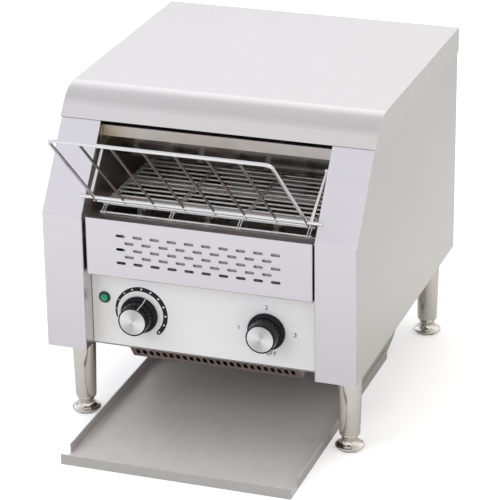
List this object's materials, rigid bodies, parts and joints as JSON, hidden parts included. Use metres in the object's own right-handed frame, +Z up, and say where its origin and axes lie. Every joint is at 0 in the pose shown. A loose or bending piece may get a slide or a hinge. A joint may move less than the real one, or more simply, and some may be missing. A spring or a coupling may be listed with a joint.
{
  "type": "conveyor toaster",
  "caption": "Countertop conveyor toaster with a sloped feed rack, wire mesh conveyor, rotary controls, curved rear chute and front pull-out tray on adjustable legs.",
  "frame": {"origin": "middle of the footprint on the counter, at the centre of the overall box", "axes": "+X to the right as seen from the front, +Y from the front to the back, +Z up"},
  "size_m": [0.368, 0.5394, 0.3969],
  "materials": {
    "satin_sheet": "satin stainless sheet, fine grain",
    "bright_sheet": "bright stainless sheet",
    "panel_paint": "satin light grey panel",
    "mirror_sheet": "polished reflector",
    "inner_sheet": "plain inner sheet",
    "tray_sheet": "worn satin stainless sheet",
    "guard_sheet": "perforated stainless sheet",
    "chrome_wire": "bright plated wire",
    "leg_chrome": "bright plated tube",
    "belt_wire": "heat-darkened stainless wire",
    "shaft_steel": "turned steel",
    "bushing_bronze": "sintered bronze",
    "chain_steel": "oiled steel",
    "motor_case": "cast and turned aluminium",
    "quartz": "white quartz tube",
    "cap_ceramic": "glazed ceramic",
    "knob_black": "gloss black plastic",
    "cap_metal": "turned aluminium",
    "black_plastic": "matt black plastic",
    "lens_green": "clear green plastic",
    "board_green": "lacquered circuit board",
    "screw_steel": "plated steel"
  },
  "bodies": {
    "housing": {"side_panel_left": "satin_sheet", "side_panel_right": "satin_sheet", "top_cover": "bright_sheet", "rear_panel": "satin_sheet", "bottom_plate": "inner_sheet", "vent_panel": "satin_sheet", "control_panel": "panel_paint", "perforated_guard": "guard_sheet", "feed_deflector": "mirror_sheet", "inner_wall_left": "inner_sheet", "inner_wall_right": "inner_sheet", "heat_shield": "inner_sheet", "ceiling_reflector": "mirror_sheet", "lower_reflector": "mirror_sheet", "toast_chute": "tray_sheet", "leg_front_left": "leg_chrome", "leg_front_right": "leg_chrome", "leg_rear_left": "leg_chrome", "leg_rear_right": "leg_chrome", "leg_nuts": "screw_steel", "conveyor_belt": "belt_wire", "shaft_bushings": "bushing_bronze", "drive_chain": "chain_steel", "gear_motor": "motor_case", "motor_bracket": "inner_sheet", "upper_heaters": "quartz", "lower_heaters": "quartz", "heater_caps": "cap_ceramic", "fan_frame": "black_plastic", "speed_regulator": "black_plastic", "selector_switch": "black_plastic", "lamp_bezel": "black_plastic", "lamp_lens": "lens_green", "control_board": "board_green", "terminal_block": "cap_ceramic", "cable_gland": "black_plastic", "gland_nut": "black_plastic", "rear_screws": "screw_steel", "bottom_screws": "screw_steel"},
    "front_drive": {"front_shaft_rod": "shaft_steel", "front_sprockets": "shaft_steel", "driven_sprocket": "chain_steel"},
    "rear_drive": {"rear_shaft_rod": "shaft_steel", "rear_sprockets": "shaft_steel"},
    "motor_output": {"motor_shaft": "shaft_steel", "motor_sprocket": "chain_steel"},
    "impeller": {"fan_impeller": "black_plastic"},
    "speed_control": {"speed_spindle": "shaft_steel", "speed_knob": "knob_black", "speed_knob_cap": "cap_metal"},
    "selector_control": {"selector_spindle": "shaft_steel", "selector_knob": "knob_black", "selector_knob_cap": "cap_metal"},
    "tray": {"toast_tray": "tray_sheet"},
    "rack": {"bread_rack": "chrome_wire"},
    "foot_fl": {"foot_front_left": "leg_chrome"},
    "foot_fr": {"foot_front_right": "leg_chrome"},
    "foot_rl": {"foot_rear_left": "leg_chrome"},
    "foot_rr": {"foot_rear_right": "leg_chrome"}
  },
  "joints": [
    {"name": "front_drive_spin", "type": "hinge", "parent": "housing", "child": "front_drive", "pos_m": [0, -0.11615, 0.2447], "axis": [1, 0, 0], "continuous": true},
    {"name": "rear_drive_spin", "type": "hinge", "parent": "housing", "child": "rear_drive", "pos_m": [0, 0.18425, 0.2447], "axis": [1, 0, 0], "continuous": true},
    {"name": "motor_spin", "type": "hinge", "parent": "housing", "child": "motor_output", "pos_m": [0.1548, -0.06115, 0.15], "axis": [1, 0, 0], "continuous": true},
    {"name": "fan_spin", "type": "hinge", "parent": "housing", "child": "impeller", "pos_m": [0.004, -0.08755, 0.1064], "axis": [0, 0, 1], "continuous": true},
    {"name": "speed_turn", "type": "hinge", "parent": "housing", "child": "speed_control", "pos_m": [-0.0781, -0.13915, 0.1457], "axis": [0, 1, 0], "range_deg": [0, 270]},
    {"name": "selector_turn", "type": "hinge", "parent": "housing", "child": "selector_control", "pos_m": [0.0729, -0.13915, 0.1457], "axis": [0, 1, 0], "range_deg": [0, 270]},
    {"name": "tray_slide", "type": "slide", "parent": "housing", "child": "tray", "axis": [0, -1, 0], "range_m": [0, 0.3]},
    {"name": "rack_swing", "type": "hinge", "parent": "housing", "child": "rack", "pos_m": [0, -0.10118, 0.3285], "axis": [-1, 0, 0], "range_deg": [0, 100]},
    {"name": "foot_fl_screw", "type": "slide", "parent": "housing", "child": "foot_fl", "axis": [0, 0, -1], "range_m": [0, 0.012]},
    {"name": "foot_fr_screw", "type": "slide", "parent": "housing", "child": "foot_fr", "axis": [0, 0, -1], "range_m": [0, 0.012]},
    {"name": "foot_rl_screw", "type": "slide", "parent": "housing", "child": "foot_rl", "axis": [0, 0, -1], "range_m": [0, 0.012]},
    {"name": "foot_rr_screw", "type": "slide", "parent": "housing", "child": "foot_rr", "axis": [0, 0, -1], "range_m": [0, 0.012]}
  ],
  "couplings": [
    {"joint": "rear_drive_spin", "follows": "front_drive_spin", "ratio": 1},
    {"joint": "motor_spin", "follows": "front_drive_spin", "ratio": 1.5}
  ]
}
